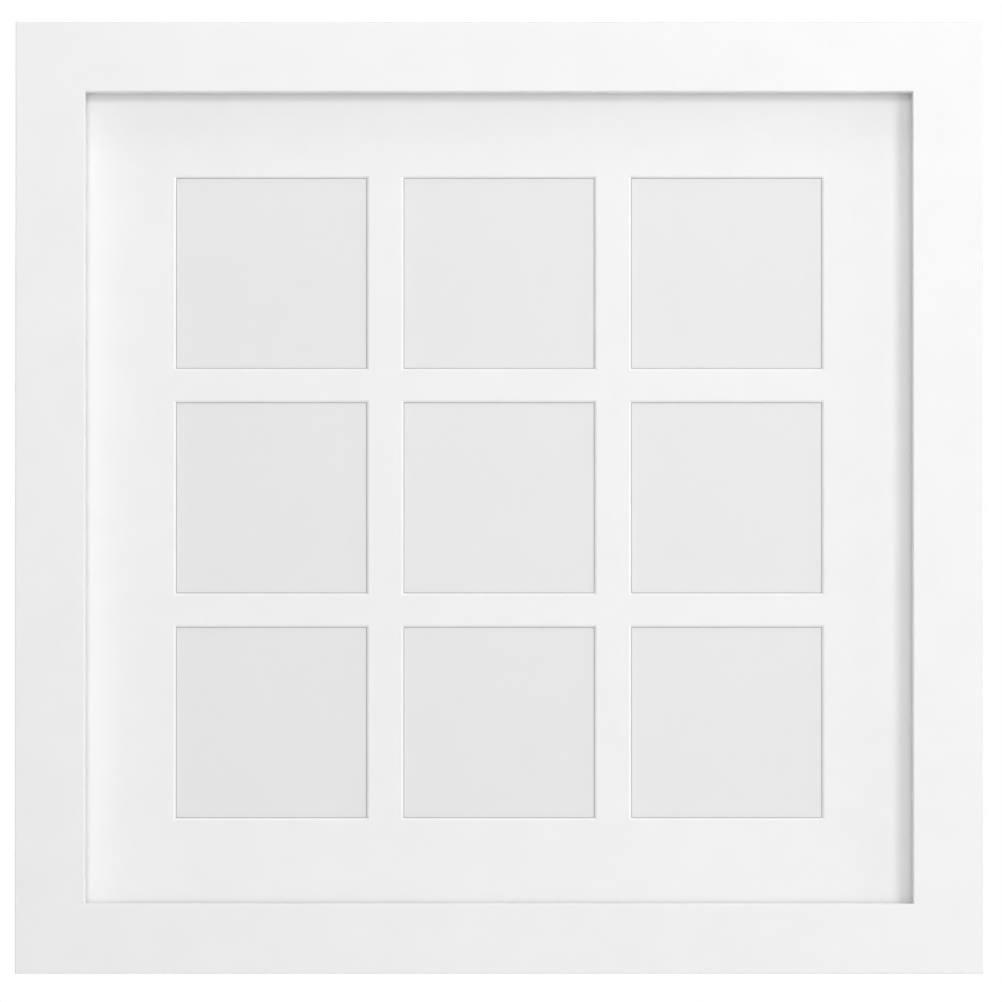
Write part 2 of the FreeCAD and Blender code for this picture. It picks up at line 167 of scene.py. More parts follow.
class FinishSettings(bpy.types.PropertyGroup):
    """Sizes and colours of the frame's finished pieces"""

    rebate_width: FloatProperty(
        name="Rebate width",
        description="How far the rebate is cut back from the sight edge",
        default=0.006,
        unit="LENGTH",
    )
    outer_rounding: FloatProperty(
        name="Outer rounding",
        description="Radius of the rails' outer arrises at the front",
        default=0.0005,
        unit="LENGTH",
    )
    sight_rounding: FloatProperty(
        name="Sight rounding",
        description="Radius of the arris round the opening",
        default=0.0006,
        unit="LENGTH",
    )
    mitre_easing: FloatProperty(
        name="Mitre easing",
        description="Width taken off the mitres' edges at the back",
        default=0.00028,
        unit="LENGTH",
    )
    rounding_steps: IntProperty(
        name="Rounding steps",
        description="Facets across each rounded arris",
        default=6,
        min=1,
    )
    window_bevel: FloatProperty(
        name="Window bevel",
        description="Width of the sloped cut round each window of the mat",
        default=0.0014,
        unit="LENGTH",
    )
    # Width of the backing-paper strip at the foot of each cut, whose dark colour is painted
    # shade
    paper_shade_edge: FloatProperty(
        name="Paper edge",
        description="Width of the mat's backing paper where the cuts show it",
        default=0.0004,
        unit="LENGTH",
    )
    print_inset: FloatProperty(
        name="Print overlap",
        description="How far each print reaches past its window",
        default=0.0031,
        unit="LENGTH",
    )
    paint: FloatVectorProperty(
        name="Paint",
        description="Colour of the painted faces of the rails",
        subtype="COLOR",
        default=(0.86, 0.86, 0.86),
    )
    mat_face: FloatVectorProperty(
        name="Mat face",
        description="Colour of the mat board's face",
        subtype="COLOR",
        default=(0.873, 0.873, 0.873),
    )
    mat_core: FloatVectorProperty(
        name="Mat core",
        description="Colour of the board where the windows are cut",
        subtype="COLOR",
        default=(0.9, 0.9, 0.9),
    )
    # The mat's backing paper, made dark grey as painted shade: it stands in for the shadow line
    # where each window meets its print
    mat_paper: FloatVectorProperty(
        name="Mat backing paper",
        description="Colour of the paper at the back of the mat board",
        subtype="COLOR",
        default=(0.4, 0.4, 0.4),
    )
    print_face: FloatVectorProperty(
        name="Blank print",
        description="Colour of the blank prints",
        subtype="COLOR",
        default=(0.779, 0.779, 0.779),
    )
    fibreboard: FloatVectorProperty(
        name="Fibreboard",
        description="Colour of the rails' unpainted back faces",
        subtype="COLOR",
        default=(0.36, 0.24, 0.145),
    )
    hardboard: FloatVectorProperty(
        name="Hardboard",
        description="Colour of the back panel",
        subtype="COLOR",
        default=(0.135, 0.075, 0.04),
    )
    zinc: FloatVectorProperty(
        name="Zinc plate",
        description="Colour of the plated fittings",
        subtype="COLOR",
        default=(0.5, 0.51, 0.53),
    )


class StageSettings(bpy.types.PropertyGroup):
    """Where the camera and the lamps stand"""

    camera_distance: FloatProperty(
        name="Camera distance",
        description="From the camera to the plane of the rails' back faces",
        default=3.0,
        unit="LENGTH",
    )
    camera_drop: FloatProperty(
        name="Camera drop",
        description="How far the camera stands below the middle of the frame",
        default=0.0345,
        unit="LENGTH",
    )
    aim_across: FloatProperty(
        name="Aim across",
        description="Where the camera aims, to the right of the middle",
        default=0.001,
        unit="LENGTH",
    )
    aim_drop: FloatProperty(
        name="Aim drop",
        description="Where the camera aims, below the middle",
        default=0.00155,
        unit="LENGTH",
    )
    lens: FloatProperty(
        name="Lens",
        description="Focal length for a sensor 36 mm wide, in millimetres",
        default=213.6,
    )
    side_power: FloatProperty(
        name="Side lamp",
        description="Power of the tall soft lamp at the right, in watts",
        default=14.1,
    )
    top_power: FloatProperty(
        name="Top lamp",
        description="Power of the wide soft lamp above, in watts",
        default=13.5,
    )
    high_power: FloatProperty(
        name="High lamp",
        description="Power of the far soft lamp high above, in watts",
        default=38.0,
    )
    far_power: FloatProperty(
        name="Far lamp",
        description="Power of the far soft lamp at the right, in watts",
        default=23.0,
    )
    front_power: FloatProperty(
        name="Front lamp",
        description="Power of the large soft lamp behind the camera, in watts",
        default=2.1,
    )
    rear_power: FloatProperty(
        name="Rear lamp",
        description="Power of the soft lamp behind, in watts",
        default=15.0,
    )
    room_light: FloatProperty(
        name="Room light",
        description="Strength of the even light from all round",
        default=0.279,
    )
    floor_drop: FloatProperty(
        name="Floor drop",
        description="From the middle of the frame down to the floor",
        default=0.42,
        unit="LENGTH",
    )


# Materials, with scales in features per metre and depths in metres


def new_tree(name):
    """A material with one shader, and the piece's own coordinates."""
    material = bpy.data.materials.new(name)
    material.use_nodes = True
    tree = material.node_tree
    tree.nodes.clear()
    output = tree.nodes.new("ShaderNodeOutputMaterial")
    shader = tree.nodes.new("ShaderNodeBsdfPrincipled")
    tree.links.new(shader.outputs["BSDF"], output.inputs["Surface"])
    place = tree.nodes.new("ShaderNodeTexCoord")
    return material, tree, shader, place.outputs["Object"]


def stretched(tree, place, scale):
    node = tree.nodes.new("ShaderNodeMapping")
    node.inputs["Scale"].default_value = scale
    tree.links.new(place, node.inputs["Vector"])
    return node.outputs["Vector"]


def grain(tree, place, scale, detail=3.0, roughness=0.55):
    """Fractal noise whose scale is in features per metre."""
    node = tree.nodes.new("ShaderNodeTexNoise")
    node.inputs["Scale"].default_value = scale
    node.inputs["Detail"].default_value = detail
    node.inputs["Roughness"].default_value = roughness
    tree.links.new(place, node.inputs["Vector"])
    return node.outputs["Fac"]


def spread(tree, factor, low=0.0, high=1.0, start=0.3, end=0.7):
    """A number from low to high as the factor runs from start to end."""
    node = tree.nodes.new("ShaderNodeMapRange")
    node.inputs["From Min"].default_value = start
    node.inputs["From Max"].default_value = end
    node.inputs["To Min"].default_value = low
    node.inputs["To Max"].default_value = high
    tree.links.new(factor, node.inputs["Value"])
    return node.outputs["Result"]


def blended(tree, factor, first, second):
    """A colour between two, each a colour or another node's output."""
    node = tree.nodes.new("ShaderNodeMix")
    node.data_type = "RGBA"
    tree.links.new(factor, node.inputs["Factor"])
    for socket, colour in (("A", first), ("B", second)):
        target = next(
            i for i in node.inputs if i.name == socket and i.type == "RGBA"
        )
        if isinstance(colour, bpy.types.NodeSocket):
            tree.links.new(colour, target)
        else:
            target.default_value = (*colour, 1.0)
    return next(o for o in node.outputs if o.type == "RGBA")


def shaded(colour, share):
    return tuple(channel * share for channel in colour)


def set_colour(tree, shader, factor, first, second):
    """Runs the shader's colour between two, by the factor."""
    tint = blended(tree, factor, first, second)
    tree.links.new(tint, shader.inputs["Base Color"])


def set_gloss(tree, shader, factor, low, high):
    """Runs the shader's roughness from low to high, by the factor."""
    tree.links.new(spread(tree, factor, low, high), shader.inputs["Roughness"])


def relief(tree, shader, height, strength, depth):
    """Raises the surface by the height, up to the depth in metres."""
    node = tree.nodes.new("ShaderNodeBump")
    node.inputs["Strength"].default_value = strength
    node.inputs["Distance"].default_value = depth
    tree.links.new(height, node.inputs["Height"])
    tree.links.new(node.outputs["Normal"], shader.inputs["Normal"])


def combined(tree, operation, first, second):
    """One number made of two."""
    node = tree.nodes.new("ShaderNodeMath")
    node.operation = operation
    tree.links.new(first, node.inputs[0])
    tree.links.new(second, node.inputs[1])
    return node.outputs["Value"]


def mix_shaders(tree, factor, first, second):
    """Mixes two shaders by the factor and puts the result out."""
    output = next(n for n in tree.nodes if n.bl_idname.startswith("ShaderNodeOutput"))
    node = tree.nodes.new("ShaderNodeMixShader")
    tree.links.new(factor, node.inputs["Fac"])
    tree.links.new(first, node.inputs[1])
    tree.links.new(second, node.inputs[2])
    tree.links.new(node.outputs["Shader"], output.inputs["Surface"])


def satin_paint(colour):
    """Sprayed satin paint, faintly mottled, with a fine orange peel."""
    material, tree, shader, place = new_tree("satin_paint")
    mottle = spread(tree, grain(tree, place, 38.0))
    set_colour(tree, shader, mottle, shaded(colour, 0.988), shaded(colour, 1.01))
    set_gloss(tree, shader, grain(tree, place, 220.0), 0.34, 0.42)
    relief(tree, shader, grain(tree, place, 620.0, 2.0), 0.12, 0.0002)
    return material


def raw_fibreboard(colour):
    """Cut fibreboard: pale brown, with short fibres and a matt surface."""
    material, tree, shader, place = new_tree("raw_fibreboard")
    cloud = spread(tree, grain(tree, place, 60.0))
    ground = blended(tree, cloud, shaded(colour, 0.92), shaded(colour, 1.1))
    pale = spread(tree, grain(tree, place, 340.0, 6.0, 0.85), 0.0, 0.9, 0.48, 0.7)
    mixed = blended(tree, pale, ground, shaded(colour, 1.65))
    dark = spread(tree, grain(tree, place, 520.0, 5.0, 0.85), 0.0, 0.9, 0.52, 0.72)
    set_colour(tree, shader, dark, mixed, shaded(colour, 0.45))
    shader.inputs["Roughness"].default_value = 0.85
    relief(tree, shader, grain(tree, place, 1500.0, 4.0, 0.7), 0.4, 0.0003)
    return material


def pressed_hardboard(colour):
    """Dark hardboard with a waxy face, cloudy tone and scattered flecks."""
    material, tree, shader, place = new_tree("pressed_hardboard")
    cloud = spread(tree, grain(tree, place, 22.0, 5.0))
    ground = blended(tree, cloud, shaded(colour, 0.9), shaded(colour, 1.12))
    fibre = grain(tree, stretched(tree, place, (1.0, 1.0, 0.7)), 400.0, 6.0, 0.85)
    pale = spread(tree, fibre, 0.0, 0.9, 0.5, 0.72)
    mixed = blended(tree, pale, ground, shaded(colour, 2.3))
    dark = spread(tree, grain(tree, place, 560.0, 5.0, 0.85), 0.0, 0.9, 0.52, 0.73)
    set_colour(tree, shader, dark, mixed, shaded(colour, 0.4))
    set_gloss(tree, shader, grain(tree, place, 45.0), 0.42, 0.6)
    relief(tree, shader, grain(tree, place, 700.0, 4.0, 0.65), 0.25, 0.0002)
    return material


def board_paper(name, colour, tooth):
    """Matt paper with a fine tooth and a barely uneven tone."""
    material, tree, shader, place = new_tree(name)
    tone = spread(tree, grain(tree, place, 55.0))
    set_colour(tree, shader, tone, shaded(colour, 0.99), shaded(colour, 1.008))
    shader.inputs["Roughness"].default_value = 0.9
    shader.inputs["Specular IOR Level"].default_value = 0.25
    relief(tree, shader, grain(tree, place, 2200.0, 3.0, 0.6), tooth, 0.0001)
    return material


def blank_print(colour):
    """Plain coated card, smoother than the mat."""
    material, tree, shader, place = new_tree("blank_print")
    tone = spread(tree, grain(tree, place, 30.0))
    set_colour(tree, shader, tone, shaded(colour, 0.997), shaded(colour, 1.003))
    set_gloss(tree, shader, grain(tree, place, 400.0), 0.5, 0.58)
    shader.inputs["Specular IOR Level"].default_value = 0.3
    return material


def grey_board():
    """Recycled board with mixed grey flecks."""
    material, tree, shader, place = new_tree("grey_board")
    fleck = spread(tree, grain(tree, place, 1200.0, 4.0, 0.7))
    set_colour(tree, shader, fleck, (0.3, 0.28, 0.25), (0.46, 0.44, 0.41))
    shader.inputs["Roughness"].default_value = 0.9
    relief(tree, shader, fleck, 0.2, 0.0001)
    return material


def plated_metal(name, colour, low, high, streak):
    """Bright plated steel whose gloss runs in faint streaks."""
    material, tree, shader, place = new_tree(name)
    cloud = spread(tree, grain(tree, place, 300.0))
    set_colour(tree, shader, cloud, shaded(colour, 0.88), shaded(colour, 1.06))
    shader.inputs["Metallic"].default_value = 1.0
    streaks = grain(tree, stretched(tree, place, streak), 900.0, 3.0, 0.6)
    set_gloss(tree, shader, streaks, low, high)
    relief(tree, shader, streaks, 0.08, 0.00005)
    return material


def soft_rubber():
    """Milky soft rubber with a little light passing through its skin."""
    material, tree, shader, place = new_tree("soft_rubber")
    tone = spread(tree, grain(tree, place, 250.0))
    set_colour(tree, shader, tone, (0.72, 0.72, 0.7), (0.8, 0.8, 0.79))
    set_gloss(tree, shader, grain(tree, place, 900.0), 0.38, 0.55)
    shader.inputs["Subsurface Weight"].default_value = 0.25
    shader.inputs["Subsurface Scale"].default_value = 0.002
    return material


def clear_glazing():
    """Clear coated glazing with faint reflections, which lets light through."""
    material, tree, shader, _ = new_tree("clear_glazing")
    shader.inputs["Base Color"].default_value = WHITE
    shader.inputs["Roughness"].default_value = 0.0
    shader.inputs["Transmission Weight"].default_value = 1.0
    shader.inputs["IOR"].default_value = 1.2
    through = tree.nodes.new("ShaderNodeBsdfTransparent")
    rays = tree.nodes.new("ShaderNodeLightPath").outputs
    soft = combined(tree, "MAXIMUM", rays["Is Shadow Ray"], rays["Is Diffuse Ray"])
    mix_shaders(tree, soft, shader.outputs["BSDF"], through.outputs["BSDF"])
    return material


# Mesh helpers


def size_of(node):
    """The lowest corner, the highest corner and the middle of a node."""
    low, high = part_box(node)
    return low, high, (low + high) / 2


def add_piece(context, name, bm, materials, node, body=FIXED_BODY):
    """Makes a mesh object of the bmesh in place of a node of the frame."""
    bmesh.ops.recalc_face_normals(bm, faces=bm.faces)
    for edge in bm.edges:
        edge.smooth = edge.calc_face_angle(0.0) < CREASE
    mesh = bpy.data.meshes.new(name)
    bm.to_mesh(mesh)
    bm.free()
    for material in materials:
        mesh.materials.append(material)
    piece = bpy.data.objects.new(name, mesh)
    context.scene.collection.objects.link(piece)
    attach(piece, body)
    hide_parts(node)


def dress_node(node, material):
    """Gives a node of the frame a finish in every one of its slots."""
    piece = frame["nodes"][node]
    if not piece.material_slots:
        piece.data.materials.append(material)
    for slot in piece.material_slots:
        slot.material = material


def close_to(first, second):
    return math.isclose(first, second, abs_tol=TOUCH)


def verts_of(geometry):
    return [part for part in geometry if isinstance(part, bmesh.types.BMVert)]


def edges_of(geometry):
    return [part for part in geometry if isinstance(part, bmesh.types.BMEdge)]


def edges_where(bm, test):
    """The edges whose both ends pass the test."""
    return [edge for edge in bm.edges if all(test(vert.co) for vert in edge.verts)]


def extruded(bm, faces, offset):
    """Extrudes faces by an offset and returns the vertices that it moved."""
    moved = verts_of(bmesh.ops.extrude_face_region(bm, geom=faces)["geom"])
    bmesh.ops.translate(bm, vec=offset, verts=moved)
    return moved


def slice_faces(bm, faces, point, normal, clear_outer=False):
    """Cuts faces by a plane and returns the edges of the cut."""
    edges = dict.fromkeys(edge for face in faces for edge in face.edges)
    verts = dict.fromkeys(vert for face in faces for vert in face.verts)
    cut = bmesh.ops.bisect_plane(
        bm,
        geom=[*verts, *edges, *faces],
        dist=WELD,
        plane_co=point,
        plane_no=normal,
        clear_outer=clear_outer,
    )
    return edges_of(cut["geom_cut"])


def turn_verts(bm, axis, degrees, verts):
    """Turns vertices about the origin, round the axis named."""
    turn = Matrix.Rotation(math.radians(degrees), 3, axis)
    bmesh.ops.rotate(bm, cent=(0, 0, 0), matrix=turn, verts=verts)


def turn_about_depth(bm, degrees, place=(0, 0, 0)):
    """Turns a mesh about the frame's depth and moves it to its place."""
    turn_verts(bm, "Y", degrees, bm.verts)
    bmesh.ops.translate(bm, vec=place, verts=bm.verts)


def soften(bm, edges, radius, steps):
    """Rounds edges off in a number of steps."""
    if not edges:
        raise ValueError("no edge to soften")
    bmesh.ops.bevel(
        bm,
        geom=edges,
        offset=radius,
        segments=steps,
        profile=0.5,
        affect="EDGES",
        material=-1,
        clamp_overlap=True,
    )


def keep_flats(bm):
    """Shades curved faces smooth and leaves the flat ones flat."""
    bmesh.ops.recalc_face_normals(bm, faces=bm.faces)
    for face in bm.faces:
        face.smooth = max(abs(part) for part in face.normal) < FLAT


def smooth_all(bm):
    for face in bm.faces:
        face.smooth = True


def join_into(bm, other):
    """Adds one mesh to another and frees it."""
    mesh = bpy.data.meshes.new("joined")
    other.to_mesh(mesh)
    other.free()
    bm.from_mesh(mesh)
    bpy.data.meshes.remove(mesh)


def lathe(bm, profile, steps):
    """Spins a profile of radii and depths about the Y axis."""
    verts = [bm.verts.new((radius, depth, 0)) for radius, depth in profile]
    edges = [bm.edges.new(pair) for pair in zip(verts, verts[1:])]
    bmesh.ops.spin(
        bm,
        geom=verts + edges,
        cent=(0, 0, 0),
        axis=(0, 1, 0),
        angle=math.tau,
        steps=steps,
        use_merge=True,
    )
    bmesh.ops.remove_doubles(bm, verts=bm.verts, dist=TOUCH)


def long_round_loop(bm, radius, length, steps):
    """A loop with half-round ends, one centred on the origin and one below it."""

    def half_turn(vert, drop):
        spun = bmesh.ops.spin(
            bm,
            geom=[vert],
            cent=-UP * drop,
            axis=(0, -1, 0),
            angle=math.pi,
            steps=steps,
        )
        return verts_of(spun["geom_last"])[0]

    start = bm.verts.new((radius, 0, 0))
    last = half_turn(start, 0)
    lower = bm.verts.new(last.co - UP * length)
    bm.edges.new((last, lower))
    bm.edges.new((half_turn(lower, length), start))
    return list(bm.edges)


# Meshes of the pieces


def rail_mesh(settings, node, turn):
    """An L-shaped rail, cut to its mitres, drawn at the top and then turned."""
    low, high, _ = size_of(node)
    size = high - low
    length = max(size.x, size.z)
    width = min(size.x, size.z)
    reach = max(abs(low.x), abs(high.x)) if turn % 180 else max(abs(low.z), abs(high.z))
    sight = reach - width
    rebate = sight + settings.rebate_width
    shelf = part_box("glazing_sheet")[0].y
    front = low.y
    back = high.y
    section = [
        (front, reach),
        (front, sight),
        (shelf, sight),
        (shelf, rebate),
        (back, rebate),
        (back, reach),
    ]
    bm = bmesh.new()
    verts = [bm.verts.new((-length / 2, depth, up)) for depth, up in section]
    end = bm.faces.new(verts)
    extruded(bm, [end], ACROSS * length)
    for side in (-1, 1):
        corner = (side * length / 2, 0, reach)
        rim = slice_faces(bm, bm.faces[:], corner, (side, 0, -1), clear_outer=True)
        bmesh.ops.edgeloop_fill(bm, edges=rim)
    bmesh.ops.recalc_face_normals(bm, faces=bm.faces)
    steps = settings.rounding_steps

    def along(depth, up):
        return edges_where(bm, lambda p: close_to(p.y, depth) and close_to(p.z, up))

    mitres = [
        edge
        for edge in edges_where(bm, lambda p: close_to(p.y, back))
        if not close_to(edge.verts[0].co.z, edge.verts[1].co.z)
    ]
    soften(bm, mitres, settings.mitre_easing, 1)
    soften(bm, along(front, reach), settings.outer_rounding, steps)
    soften(bm, along(front, sight), settings.sight_rounding, steps)
    for face in bm.faces:
        mitred = abs(face.normal.x) > SLANT
        at_back = face.normal.y > SLANT and face.calc_center_median().y > shelf / 2
        face.material_index = 1 if mitred or at_back else 0
    keep_flats(bm)
    turn_about_depth(bm, turn)
    return bm


def is_within(point, centre, half):
    """Whether a point lies in the oblong round a centre, seen from the front."""
    away = point - centre
    return abs(away.x) < half.x and abs(away.z) < half.z


def windowed_layer(bm, depth, half_width, half_height, windows, half_window):
    """A flat layer with a hole for each window, facing the front."""
    verts = bmesh.ops.create_grid(bm, x_segments=1, y_segments=1, size=1.0)["verts"]
    bmesh.ops.scale(bm, vec=(half_width, half_height, 1), verts=verts)
    turn_verts(bm, "X", 90, verts)
    bmesh.ops.translate(bm, vec=BACKWARD * depth, verts=verts)
    layer = list(verts[0].link_faces)
    for axis in (ACROSS, UP):
        for centre in sorted({place.dot(axis) for place in windows}):
            for side in (-1, 1):
                cut = centre + side * half_window.dot(axis)
                slice_faces(bm, layer, axis * cut, axis)
                layer = [f for f in bm.faces if close_to(f.verts[0].co.y, depth)]
    holes = []
    for face in layer:
        middle = face.calc_center_median()
        if any(is_within(middle, centre, half_window) for centre in windows):
            holes.append(face)
    bmesh.ops.delete(bm, geom=holes, context="FACES")


def mat_mesh(settings, windows, half_window):
    """The mat board, its windows cut on a slope that shows core and paper; the paper's dark grey
    is painted shade, a shadow line at the foot of each cut.
    """
    low, high, _ = size_of("mat_board")
    bevel = Vector((settings.window_bevel, 0, settings.window_bevel))
    bm = bmesh.new()
    windowed_layer(bm, low.y, high.x, high.z, windows, half_window + bevel)
    windowed_layer(bm, high.y, high.x, high.z, windows, half_window)
    rims = {index: [] for index in range(len(windows) + 1)}
    reach = half_window + bevel * 2
    for edge in bm.edges:
        if not edge.is_boundary:
            continue
        middle = (edge.verts[0].co + edge.verts[1].co) / 2
        owner = len(windows)
        for index, centre in enumerate(windows):
            if is_within(middle, centre, reach):
                owner = index
        rims[owner].append(edge)
    for owner, edges in rims.items():
        made = bmesh.ops.bridge_loops(bm, edges=edges)
        for face in made["faces"]:
            face.material_index = 1 if owner < len(windows) else 0
    slopes = [face for face in bm.faces if face.material_index == 1]
    # The backing paper at the foot of each cut gets the dark paper colour, a painted shadow line
    # where the mat meets the print
    paper = high.y - settings.paper_shade_edge
    slice_faces(bm, slopes, BACKWARD * paper, BACKWARD)
    for face in bm.faces:
        if face.material_index == 1 and face.calc_center_median().y > paper:
            face.material_index = 2
    return bm


def panel_mesh(node, easing, clear_of_back=0.0):
    """A flat sheet with eased edges, its back short of the node's by a gap."""
    low, high, _ = size_of(node)
    high.y -= clear_of_back
    middle = (low + high) / 2
    bm = bmesh.new()
    bmesh.ops.create_cube(bm, size=1.0)
    bmesh.ops.scale(bm, vec=high - low, verts=bm.verts)
    bmesh.ops.translate(bm, vec=middle, verts=bm.verts)
    soften(bm, list(bm.edges), easing, EASING_STEPS)
    return bm


def nail_mesh(node, gauge, proud):
    """Two right-angled strips of steel, standing just proud of the wood."""
    low, high, middle = size_of(node)
    side = math.copysign(1, middle.x)
    top = math.copysign(1, middle.z)
    corner = Vector((high.x if side > 0 else low.x, 0, high.z if top > 0 else low.z))
    inner = Vector((low.x if side > 0 else high.x, 0, low.z if top > 0 else high.z))
    leg = abs(corner.x - inner.x) * NAIL_LEG
    step = abs(corner.x - inner.x) - leg
    outline = ((0, 0), (leg, 0), (leg, gauge), (gauge, gauge), (gauge, leg), (0, leg))
    bm = bmesh.new()
    for inset in (0, step):
        bend = corner - Vector((side * inset, -low.y, top * inset))
        foot = []
        for out, down in outline:
            foot.append(bm.verts.new(bend - Vector((side * out, 0, top * down))))
        extruded(bm, [bm.faces.new(foot)], BACKWARD * (proud - low.y))
    return bm


def catch_mesh(radius, length, thickness):
    """A rounded rib for a fingertip, half sunk in its button's plate."""
    bm = bmesh.new()
    long_round_loop(bm, radius * CATCH_WIDTH, length * CATCH_LENGTH, CATCH_STEPS)
    face = bmesh.ops.edgeloop_fill(bm, edges=list(bm.edges))["faces"][0]
    raised = thickness * CATCH_RISE
    extruded(bm, [face], BACKWARD * (raised * 2))
    bmesh.ops.recalc_face_normals(bm, faces=bm.faces)
    crown = edges_where(bm, lambda p: close_to(p.y, raised * 2))
    soften(bm, crown, raised * CATCH_ROUNDING, CATCH_CROWN_STEPS)
    drop = BACKWARD * (thickness - raised) - UP * length * CATCH_DROP
    bmesh.ops.translate(bm, vec=drop, verts=bm.verts)
    return bm


def button_mesh(radius, length, thickness, hole):
    """A stamped plate with round ends, a hole and a raised finger catch."""
    bm = bmesh.new()
    outer = long_round_loop(bm, radius, length, BUTTON_STEPS)
    ring = bmesh.ops.create_circle(bm, segments=2 * BUTTON_STEPS + 2, radius=hole)
    turn_verts(bm, "X", 90, ring["verts"])
    inner = list({edge for vert in ring["verts"] for edge in vert.link_edges})
    bmesh.ops.bridge_loops(bm, edges=outer + inner)
    extruded(bm, list(bm.faces), BACKWARD * thickness)
    bmesh.ops.recalc_face_normals(bm, faces=bm.faces)
    rims = [
        edge
        for edge in bm.edges
        if abs(edge.calc_face_angle(0.0)) > RIM
        and edge.verts[0].co.xz.length > hole * HOLE_CLEAR
    ]
    soften(bm, rims, thickness * BUTTON_EASING, BUTTON_RIM_STEPS)
    join_into(bm, catch_mesh(radius, length, thickness))
    keep_flats(bm)
    return bm


def cross_recess(span, slot, top, depth):
    """A driver's cross recess, open at its top and narrower at its floor."""
    bm = bmesh.new()
    bmesh.ops.create_grid(bm, x_segments=1, y_segments=1, size=span / 2)
    turn_verts(bm, "X", -90, bm.verts)
    for normal in (ACROSS, UP):
        for side in (-1, 1):
            slice_faces(bm, bm.faces[:], normal * (side * slot / 2), normal)
    corners = []
    for face in bm.faces:
        middle = face.calc_center_median()
        if abs(middle.x) > slot / 2 and abs(middle.z) > slot / 2:
            corners.append(face)
    bmesh.ops.delete(bm, geom=corners, context="FACES")
    floor = extruded(bm, list(bm.faces), -BACKWARD * depth)
    bmesh.ops.scale(bm, vec=(RECESS_FLOOR, 1, RECESS_FLOOR), verts=floor)
    bmesh.ops.translate(bm, vec=BACKWARD * top, verts=bm.verts)
    return bm


def thread_profile(length):
    """The ridges of a thread along a shank, as radii and depths."""
    pitch = length / RIDGES
    return [
        (SHANK_RADIUS * out, -(number + along) * pitch)
        for number in range(RIDGES)
        for along, out in RIDGE
    ]


def screw_mesh(head, length):
    """A pan-head screw at the origin, its seat at depth zero."""
    profile = []
    for step in range(HEAD_STEPS + 1):
        angle = math.radians(90 * step / HEAD_STEPS)
        out = CROWN_INNER + (1 - CROWN_INNER) * math.sin(angle)
        rise = CROWN_FOOT + (1 - CROWN_FOOT) * math.cos(angle)
        profile.append((head * out, HEAD_HEIGHT * rise))
    profile += [(head, HEAD_HEIGHT * HEAD_RIM), (head * HEAD_SEAT, 0)]
    profile += [(SHANK_RADIUS, 0), *thread_profile(length - SCREW_TIP), (0, -length)]
    bm = bmesh.new()
    lathe(bm, profile, SCREW_STEPS)
    span = head * RECESS_SPAN
    slot = head * RECESS_SLOT
    join_into(bm, cross_recess(span, slot, HEAD_HEIGHT, HEAD_HEIGHT * RECESS_DEPTH))
    rims = [edge for edge in bm.edges if edge.is_boundary]
    bmesh.ops.triangle_fill(bm, use_beauty=True, edges=rims)
    keep_flats(bm)
    return bm


def strap_mesh(width, length, gauge, eye, opened, foot_radius):
    """A strap rolled into an eye at its top, drawn at the origin."""
    bm = bmesh.new()
    outer = bm.verts.new((0, 0, -length))
    inner = bm.verts.new((0, gauge, -length))
    foot = bm.edges.new((outer, inner))
    grown = bmesh.ops.extrude_edge_only(bm, edges=[foot])
    moved = verts_of(grown["geom"])
    bmesh.ops.translate(bm, vec=UP * length, verts=moved)
    top = [
        edge
        for edge in edges_of(grown["geom"])
        if all(close_to(vert.co.z, 0) for vert in edge.verts)
    ]
    bmesh.ops.spin(
        bm,
        geom=top + moved,
        cent=(0, eye, 0),
        axis=(1, 0, 0),
        angle=-math.radians(180 + opened),
        steps=EYE_STEPS,
    )
    bmesh.ops.remove_doubles(bm, verts=bm.verts, dist=WELD)
    extruded(bm, list(bm.faces), ACROSS * width)
    bmesh.ops.translate(bm, vec=-ACROSS * width / 2, verts=bm.verts)
    bmesh.ops.recalc_face_normals(bm, faces=bm.faces)
    corners = [
        edge
        for edge in edges_where(bm, lambda p: close_to(p.z, -length))
        if close_to(edge.verts[0].co.x, edge.verts[1].co.x)
    ]
    soften(bm, corners, foot_radius, FOOT_STEPS)
    keep_flats(bm)
    return bm


def ring_mesh(wire, half, height, bend):
    """A wire ring with a straight bar at its top and a round bow below."""
    bm = bmesh.new()
    made = bmesh.ops.create_circle(bm, segments=WIRE_STEPS, radius=wire)
    turn_verts(bm, "Y", 90, made["verts"])
    low = height - half

    def run(section, direction):
        grown = bmesh.ops.extrude_edge_only(bm, edges=section)["geom"]
        verts = verts_of(grown)
        bmesh.ops.translate(bm, vec=direction, verts=verts)
        return [e for e in edges_of(grown) if all(v in verts for v in e.verts)]

    def turned(section, centre, degrees, steps):
        spun = bmesh.ops.spin(
            bm,
            geom=section + list({vert for edge in section for vert in edge.verts}),
            cent=centre,
            axis=(0, 1, 0),
            angle=math.radians(degrees),
            steps=steps,
        )
        return edges_of(spun["geom_last"])

    section = run(list(bm.edges), ACROSS * (half - bend))
    section = turned(section, (half - bend, 0, -bend), 90, BEND_STEPS)
    section = run(section, -UP * (low - bend))
    section = turned(section, (0, 0, -low), 180, BOW_STEPS)
    section = run(section, UP * (low - bend))
    section = turned(section, (bend - half, 0, -bend), 90, BEND_STEPS)
    run(section, ACROSS * (half - bend))
    bmesh.ops.remove_doubles(bm, verts=bm.verts, dist=TOUCH)
    smooth_all(bm)
    return bm


def bumper_mesh(node):
    """A soft disc with a crowned face and a waist at its glue line."""
    low, high, middle = size_of(node)
    radius = (high.x - low.x) / 2
    bm = bmesh.new()
    lathe(bm, [(radius * out, high.y * up) for out, up in BUMPER_OUTLINE], BUMPER_STEPS)
    bmesh.ops.translate(bm, vec=(middle.x, 0, middle.z), verts=bm.verts)
    smooth_all(bm)
    return bm


# Operators for the pieces


